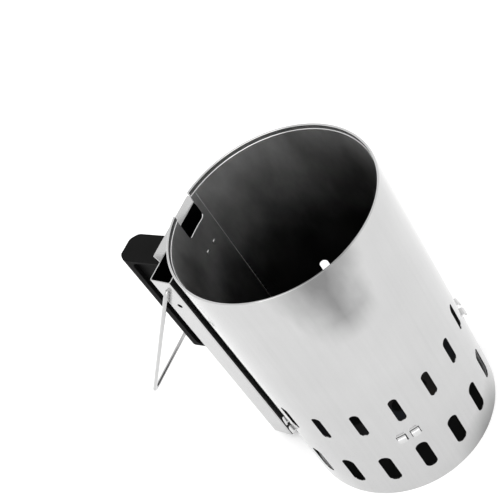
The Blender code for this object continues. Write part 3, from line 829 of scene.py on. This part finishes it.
def grate_tabs():
    """Flat tabs that reach through the wall, their ends turned down outside it."""
    bm = bmesh.new()
    middle = GRATE_TOP - GRATE_THICKNESS / 2
    path = [
        (GRATE_RADIUS - GRATE_BEND, middle, 0),
        (TAB_BEND, middle, 0),
        (TAB_REACH, middle - TAB_DROP, 0),
    ]
    line = filleted(path, GRATE_THICKNESS, steps=6, closed=False)
    for degrees in tab_angles():
        matrix = radial_frame(degrees)
        add_strip(bm, line, GRATE_THICKNESS, lambda point: TAB_WIDTH / 2, TAB_CORNER, matrix)
    return make_object("grate_tabs", bm)


def grate_holes():
    bm = bmesh.new()
    row_height = GRATE_HOLE_PITCH * math.sqrt(3) / 2
    for row in range(-4, 5):
        for column in range(-4, 5):
            x = (column + (row % 2) / 2) * GRATE_HOLE_PITCH
            y = row * row_height
            if math.hypot(x, y) > GRATE_HOLE_REACH:
                continue
            matrix = Matrix.Translation((AXIS_X + x, y, 0))
            add_cylinder(bm, GRATE_HOLE / 2, GRATE_TOP - CUT, GRATE_TOP + CUT, matrix, 36)
    return make_object("grate_holes", bm)


def build_grate(material):
    bm = bmesh.new()
    add_turned(bm, grate_section(), 160, radial_frame(0), closed=True)
    grate = make_object("grate_pan", bm, material)
    boolean(grate, grate_tabs(), "UNION")
    boolean(grate, grate_holes())
    clean(grate)
    finish_piece(grate, CHIMNEY, "charcoal_grate")


# ---------------------------------------------------------------- the heat shield
def shield_outline():
    middle = SHEET / 2
    face = SHIELD_FACE - middle
    back = SHIELD_BACK + middle
    front_side = SHIELD_HALF_WIDTH - middle
    back_side = SHIELD_BACK_HALF_WIDTH - middle
    path = [
        (back, -SHIELD_FLANGE_INNER, 0),
        (back, -back_side, 0),
        (face, -front_side, 0),
        (face, front_side, 0),
        (back, back_side, 0),
        (back, SHIELD_FLANGE_INNER, 0),
    ]
    bends = filleted(path, SHIELD_BEND, closed=False)
    return [place(point.x, point.y, 0) for point in sheet_outline(bends, SHEET)]


def tongue_half_width(point):
    rise = max(0.0, min(1.0, (point.y - SHIELD_TOP) / TONGUE_REACH))
    return TONGUE_HALF_WIDTH + (TONGUE_TIP_HALF_WIDTH - TONGUE_HALF_WIDTH) * rise


def shield_tongue():
    """The plate's flared top edge: it leans out over the grip and narrows a little."""
    middle = SHIELD_FACE - SHEET / 2
    path = [
        (middle, SHIELD_TOP - TONGUE_ROOT, 0),
        (middle, SHIELD_TOP, 0),
        (middle + TONGUE_REACH, SHIELD_TOP + TONGUE_REACH, 0),
    ]
    line = filleted(path, TONGUE_BEND, steps=6, closed=False)
    bm = bmesh.new()
    add_strip(bm, line, SHEET * TONGUE_SHARE, tongue_half_width, TONGUE_CORNER, radial_frame(0))
    return make_object("shield_tongue", bm)


def shield_holes():
    bm = bmesh.new()
    add_rivet_holes(bm)
    for label in screw_labels():
        side, z = side_and_height(f"grip_screw_{label}")
        matrix = handle_frame(0, side, z)
        add_cylinder(bm, SCREW_SHANK / 2 + GAP, SHIELD_FACE - CUT, SHIELD_FACE + CUT, matrix)
    across = Matrix.Rotation(math.radians(90), 4, "X")
    holes = (
        (BAIL_PIVOT_OUT, PIVOT.z, BAIL_WIRE / 2 + GAP),
        (SPARE_HOLE["out"], SPARE_HOLE["z"], SPARE_HOLE["diameter"] / 2),
    )
    for out, z, radius in holes:
        for side in (-1, 1):
            matrix = Matrix.Translation(place(out, side * SHIELD_HALF_WIDTH, z)) @ across
            add_cylinder(bm, radius, -CUT, CUT, matrix)
    return make_object("shield_holes", bm)


def mark_inner_faces(obj):
    """Give the second material, a near-black painted shade, to the faces that look into the duct or
    at the cylinder.
    """
    flange_limit = SHIELD_BACK + SHEET * 1.2
    for face in obj.data.polygons:
        toward_axis = Vector((AXIS_X, 0, face.center.z)) - face.center
        looks_in = face.normal.dot(toward_axis.normalized()) > 0.25
        on_flange = AXIS_X - face.center.x < flange_limit and abs(face.normal.x) > 0.9
        below_tongue = face.center.z < SHIELD_TOP - 2 * MM
        if (looks_in or on_flange) and below_tongue:
            face.material_index = 1


def build_shield(outer, inner):
    bm = bmesh.new()
    add_prism(bm, shield_outline(), SHIELD_FOOT, SHIELD_TOP)
    shield = make_object("shield_plate", bm, outer, inner)
    boolean(shield, shield_tongue(), "UNION")
    boolean(shield, shield_holes())
    clean(shield)
    mark_inner_faces(shield)
    finish_piece(shield, CHIMNEY, "heat_shield")


# ---------------------------------------------------------------- the grip
def side_prism(name, outline, half_width, middle=0):
    """A prism across the handle, from an outline in distance out and height."""
    bm = bmesh.new()
    points = [(AXIS_X - point[0], point[1]) for point in outline]
    matrix = Matrix.Rotation(math.radians(90), 4, "X")
    add_prism(bm, points, middle - half_width, middle + half_width, matrix)
    return make_object(name, bm)


def grip_loop(spec):
    """The outline of an opening in the grip's side, in distance out and height."""
    low = GRIP_FOOT + spec["rim"]
    high = GRIP_TOP - spec["rim"]
    return filleted(rectangle(spec["inner"], spec["outer"], low, high), spec["corner"])


def grip_plan(material):
    """The grip's block, seen from above: its outer corners are cut back and rounded."""
    chamfer_out, chamfer_side = GRIP_CHAMFER
    path = [
        (GRIP_INNER, GRIP_HALF_WIDTH, 0),
        (GRIP_FACE - chamfer_out, GRIP_HALF_WIDTH, 0),
        (GRIP_FACE, GRIP_HALF_WIDTH - chamfer_side, 0),
        (GRIP_FACE, chamfer_side - GRIP_HALF_WIDTH, 0),
        (GRIP_FACE - chamfer_out, -GRIP_HALF_WIDTH, 0),
        (GRIP_INNER, -GRIP_HALF_WIDTH, 0),
    ]
    outline = filleted(path, GRIP_CHAMFER_ROUND, steps=5, closed=False)
    bm = bmesh.new()
    add_prism(bm, [place(point.x, point.y, 0) for point in outline], GRIP_FOOT, GRIP_TOP)
    return make_object("grip_moulding", bm, material)


def screw_labels():
    prefix = "grip_screw_"
    return sorted(name[len(prefix):] for name in frame["nodes"] if name.startswith(prefix))


def grip_sockets():
    bm = bmesh.new()
    for label in screw_labels():
        side, z = side_and_height(f"grip_insert_{label}")
        low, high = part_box(f"grip_insert_{label}")
        bore = (high.z - low.z) / 2 + GAP
        floor = AXIS_X - low.x + GAP
        add_cylinder(bm, bore, GRIP_INNER - 2 * MM, floor, handle_frame(0, side, z))
    return make_object("grip_sockets", bm)


def ease_edges(obj, width, angle):
    """Round the moulding's edges, once the cuts' flat faces are whole again."""
    bm = bmesh.new()
    bm.from_mesh(obj.data)
    bmesh.ops.dissolve_limit(bm, angle_limit=math.radians(0.5), verts=bm.verts, edges=bm.edges)
    bm.to_mesh(obj.data)
    bm.free()
    bevel = obj.modifiers.new("eased", "BEVEL")
    bevel.width = width
    bevel.segments = 3
    bevel.limit_method = "ANGLE"
    bevel.angle_limit = math.radians(angle)
    apply_modifiers(obj)


def build_grip(material):
    grip = grip_plan(material)
    block = rectangle(GRIP_INNER - 2 * CUT, GRIP_FACE + GAP, GRIP_FOOT - GAP, GRIP_TOP + GAP)
    corners = (GRIP_FOOT_CORNER, GRIP_FOOT_CORNER, GRIP_TOP_CORNER, GRIP_TOP_CORNER)
    ends = side_prism("grip_ends", filleted(block, corners), GRIP_HALF_WIDTH * 2)
    boolean(grip, ends, "INTERSECT")
    boolean(grip, side_prism("grip_window", grip_loop(GRIP_WINDOW), GRIP_HALF_WIDTH * 2))
    for name, middle in (("recess_near", GRIP_HALF_WIDTH), ("recess_far", -GRIP_HALF_WIDTH)):
        boolean(grip, side_prism(name, grip_loop(GRIP_RECESS), GRIP_RECESS_DEPTH, middle))
    clean(grip)
    ease_edges(grip, GRIP_EDGE, 40)
    boolean(grip, grip_sockets())
    finish_piece(grip, CHIMNEY, "grip", 45)


# ---------------------------------------------------------------- the bail
def bail_path():
    """Centre line of the wire in its own frame: hinge on Y, crossbar straight below it."""
    corners = [
        (0, -BAIL_END, 0),
        (0, -BAIL_LEG, 0),
        (0, -BAIL_LEG, -BAIL_LENGTH),
        (0, BAIL_LEG, -BAIL_LENGTH),
        (0, BAIL_LEG, 0),
        (0, BAIL_END, 0),
    ]
    radii = (0, BAIL_WIRE, BAIL_BEND, BAIL_BEND, BAIL_WIRE, 0)
    return filleted(corners, radii, steps=10, closed=False)


def add_wire(bm, path, radius, sides=24):
    """A round wire swept along a path in the YZ plane, with closed ends."""
    rings = []
    for index, point in enumerate(path):
        before = (point - path[index - 1]).normalized() if index else None
        after = (path[index + 1] - point).normalized() if index < len(path) - 1 else None
        along = ((before or after) + (after or before)).normalized()
        across = Vector((0, -along.z, along.y))
        ring = []
        for step in range(sides):
            angle = 2 * math.pi * step / sides
            offset = across * math.cos(angle) + Vector((1, 0, 0)) * math.sin(angle)
            ring.append(bm.verts.new(point + offset * radius))
        rings.append(ring)
    bm.faces.new(rings[0])
    bm.faces.new(rings[-1])
    for ring, following_ring in zip(rings, rings[1:]):
        for step in range(sides):
            following = (step + 1) % sides
            corners = (ring[step], ring[following], following_ring[following], following_ring[step])
            bm.faces.new(corners)


def bail_heads():
    """The wire's ends, flattened into discs inside the shield's walls."""
    bm = bmesh.new()
    half = BAIL_HEAD_THICKNESS / 2
    edge = half * 0.6
    radius = BAIL_HEAD / 2
    profile = [
        (0, -half),
        (radius - edge, -half),
        (radius - edge * 0.3, -half + edge * 0.3),
        (radius, -half + edge),
        (radius, half - edge),
        (radius - edge * 0.3, half - edge * 0.3),
        (radius - edge, half),
        (0, half),
    ]
    across = Matrix.Rotation(math.radians(90), 4, "X")
    for side in (-1, 1):
        matrix = Matrix.Translation((0, side * (BAIL_END + half / 2), 0)) @ across
        add_turned(bm, profile, 32, matrix)
    return make_object("bail_heads", bm)


def build_bail(material):
    bm = bmesh.new()
    add_wire(bm, bail_path(), BAIL_WIRE / 2)
    bail = make_object("bail_wire", bm, material)
    boolean(bail, bail_heads(), "UNION")
    clean(bail)
    hang = Matrix.Translation(PIVOT) @ Matrix.Rotation(math.radians(BAIL_SWING), 4, "Y")
    bail.data.transform(hang)
    finish_piece(bail, BAIL_BODY, "bail", 45)


# ---------------------------------------------------------------- fasteners
def dome(radius, height, base, direction, steps=6):
    """A rivet head's profile from its rim to its crown, along one direction of the axis."""
    rim = height / 4
    points = [(radius, base), (radius, base + direction * rim)]
    for step in range(1, steps + 1):
        angle = math.pi / 2 * step / steps
        rise = rim + (height - rim) * math.sin(angle)
        points.append((radius * math.cos(angle), base + direction * rise))
    points[-1] = (0, base + direction * height)
    return points


def build_rivets(material):
    for node in rivet_nodes():
        low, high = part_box(node)
        side, z = side_and_height(node)
        head = RIVET_HEAD / 2
        inner_face = AXIS_X - high.x + RIVET_HEAD_HEIGHT
        outer_face = AXIS_X - low.x - RIVET_HEAD_HEIGHT
        inner_head = dome(head, RIVET_HEAD_HEIGHT, inner_face, -1)
        outer_head = dome(head, RIVET_HEAD_HEIGHT, outer_face, 1)
        shank = [(RIVET_SHANK / 2, inner_face), (RIVET_SHANK / 2, outer_face)]
        bm = bmesh.new()
        add_turned(bm, inner_head[::-1] + shank + outer_head, 32, handle_frame(0, side, z))
        rivet = make_object(node.replace("shield_rivet", "domed_rivet"), bm, material)
        finish_piece(rivet, CHIMNEY, node, 50)


def hex_socket(matrix, start, depth):
    """A cutter for a hexagonal drive socket."""
    reach = SCREW_SOCKET["reach"] / math.cos(math.radians(30))
    angles = [math.radians(60 * corner) for corner in range(6)]
    outline = [(reach * math.cos(angle), reach * math.sin(angle)) for angle in angles]
    bm = bmesh.new()
    add_prism(bm, outline, start - CUT, start + depth, matrix)
    return make_object("hex_socket", bm)


def threaded_shank(start, end):
    """A shank's profile with thread ridges, from its base to its tip."""
    pitch = 0.8 * MM
    depth = 0.35 * MM
    crest = SCREW_SHANK / 2
    points = [(crest, start)]
    z = start + pitch * 2
    while z + pitch < end:
        points += [(crest, z), (crest - depth, z + pitch / 2)]
        z += pitch
    return points + [(crest, z), (crest - depth * 1.5, end), (0, end)]


def build_screw(node, steel):
    low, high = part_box(node)
    side, z = side_and_height(node)
    head_inner = AXIS_X - high.x
    head_outer = head_inner + SCREW_HEAD_HEIGHT
    edge = SCREW_HEAD_EDGE
    head = SCREW_HEAD / 2
    rounded = arc(head - edge, head_inner + edge, edge, -90, 0, 5)
    profile = [(0, head_inner)] + rounded + [(head, head_outer)]
    profile += threaded_shank(head_outer, AXIS_X - low.x)
    matrix = handle_frame(0, side, z)
    bm = bmesh.new()
    add_turned(bm, profile, 32, matrix)
    screw = make_object(node.replace("grip_screw", "hex_screw"), bm, steel)
    boolean(screw, hex_socket(matrix, head_inner, SCREW_SOCKET["depth"]))
    finish_piece(screw, CHIMNEY, node)


def build_washer(node, steel):
    low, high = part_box(node)
    side, z = side_and_height(node)
    inside = AXIS_X - high.x
    outside = AXIS_X - low.x
    outer = (high.z - low.z) / 2
    bore = SCREW_SHANK / 2 + GAP
    edge = 0.2 * MM
    profile = [
        (bore, inside + edge),
        (bore + edge, inside),
        (outer - edge, inside),
        (outer, inside + edge),
        (outer, outside),
        (bore, outside),
    ]
    bm = bmesh.new()
    add_turned(bm, profile, 48, handle_frame(0, side, z), closed=True)
    washer = make_object(node.replace("grip_washer", "plain_washer"), bm, steel)
    finish_piece(washer, CHIMNEY, node)


def build_insert(node, brass):
    low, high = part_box(node)
    side, z = side_and_height(node)
    start = AXIS_X - high.x
    end = AXIS_X - low.x
    outer = (high.z - low.z) / 2
    bore = SCREW_SHANK / 2 + GAP
    edge = 0.4 * MM
    profile = [
        (0, end),
        (outer - edge, end),
        (outer, end - edge),
        (outer, start + edge),
        (outer - edge, start),
        (bore, start),
        (bore, end - INSERT_WALL_END),
        (0, end - INSERT_WALL_END),
    ]
    knurl = (KNURL_TEETH, KNURL_DEPTH, (2, 3))
    bm = bmesh.new()
    add_turned(bm, profile, KNURL_TEETH * 4, handle_frame(0, side, z), ripple=knurl)
    insert = make_object(node.replace("grip_insert", "knurled_insert"), bm, brass)
    finish_piece(insert, CHIMNEY, node)


def build_grip_fasteners(steel, brass):
    for label in screw_labels():
        build_screw(f"grip_screw_{label}", steel)
        build_washer(f"grip_washer_{label}", steel)
        build_insert(f"grip_insert_{label}", brass)


# ---------------------------------------------------------------- stage
HORIZON_LIGHT = 1.6
ZENITH_LIGHT = 0.9
FLOOR_GLOW = 0.14
FLOOR_REACH = 6.0
FLOOR_TONE = 0.92
SHADE_TONE = 0.02
SHADE_EDGE = (SHELL_RADIUS - 8.0 * MM, SHELL_RADIUS - 3.0 * MM)
KEY_PLACE = (0.5, -1.0, 2.0)
KEY_AIM = (0, 0, 0.15)
KEY_SIZE = (2.0, 1.6)
KEY_POWER = 16


def add_stage():
    """A pale floor that glows a little, so hardly a shadow shows on it. It's dark under the
    chimney, so the slots look into shade."""
    bm = bmesh.new()
    bmesh.ops.create_grid(bm, x_segments=1, y_segments=1, size=FLOOR_REACH)
    floor = make_object("floor", bm)
    nodes = Nodes("floor_white")
    radius = nodes.length(nodes.moved(nodes.position(), (AXIS_X, 0, 0), FLAT))
    beyond = nodes.spread(radius, *SHADE_EDGE, 0, 1)
    nodes.set(Base_Color=nodes.mix(beyond, grey(SHADE_TONE), grey(FLOOR_TONE)))
    nodes.set(Roughness=0.9, Specular_IOR_Level=0.1)
    nodes.set(Emission_Color=nodes.mix(beyond, grey(0), grey(1)), Emission_Strength=FLOOR_GLOW)
    floor.data.materials.append(nodes.material)


def add_light(name, place_at, aim, size, power):
    data = bpy.data.lights.new(name, "AREA")
    data.shape = "RECTANGLE"
    data.size, data.size_y = size
    data.energy = power
    light = bpy.data.objects.new(name, data)
    bpy.context.scene.collection.objects.link(light)
    light.location = place_at
    light.rotation_mode = "QUATERNION"
    light.rotation_quaternion = (Vector(aim) - Vector(place_at)).to_track_quat("-Z", "Y")


def add_world():
    """A white studio, brightest at the horizon."""
    world = bpy.data.worlds.new("studio")
    bpy.context.scene.world = world
    world.use_nodes = True
    tree = world.node_tree
    direction = tree.nodes.new("ShaderNodeTexCoord").outputs["Generated"]
    split = tree.nodes.new("ShaderNodeSeparateXYZ")
    tree.links.new(direction, split.inputs[0])
    fade = tree.nodes.new("ShaderNodeMapRange")
    tree.links.new(split.outputs["Z"], fade.inputs["Value"])
    fade.inputs["To Min"].default_value = HORIZON_LIGHT
    fade.inputs["To Max"].default_value = ZENITH_LIGHT
    background = tree.nodes["Background"]
    background.inputs["Color"].default_value = (1, 1, 1, 1)
    tree.links.new(fade.outputs[0], background.inputs["Strength"])


add_camera()
low_steel, high_steel = PLATED_STEEL
fastener_steel = plated("fastener_steel", grey(low_steel), grey(high_steel))
build_shell(shell_steel())
build_grate(grate_steel())
shield_outside = plain_sheet("shield_steel", SHIELD_STEEL, (0.14, 0.22))
# painted shade for the faces in the duct and on the flange
shield_shaded = plain_sheet("shield_painted_shade", SHIELD_SHADE_TONES, (0.3, 0.45))
build_shield(shield_outside, shield_shaded)
build_grip(moulded_resin())
build_bail(drawn_wire())
build_rivets(fastener_steel)
build_grip_fasteners(fastener_steel, plated("insert_brass", BRASS_LOW, BRASS_HIGH))

add_stage()
add_world()
add_light("key", KEY_PLACE, KEY_AIM, KEY_SIZE, KEY_POWER)
bpy.context.scene.view_settings.view_transform = "Standard"

bpy.context.view_layer.update()
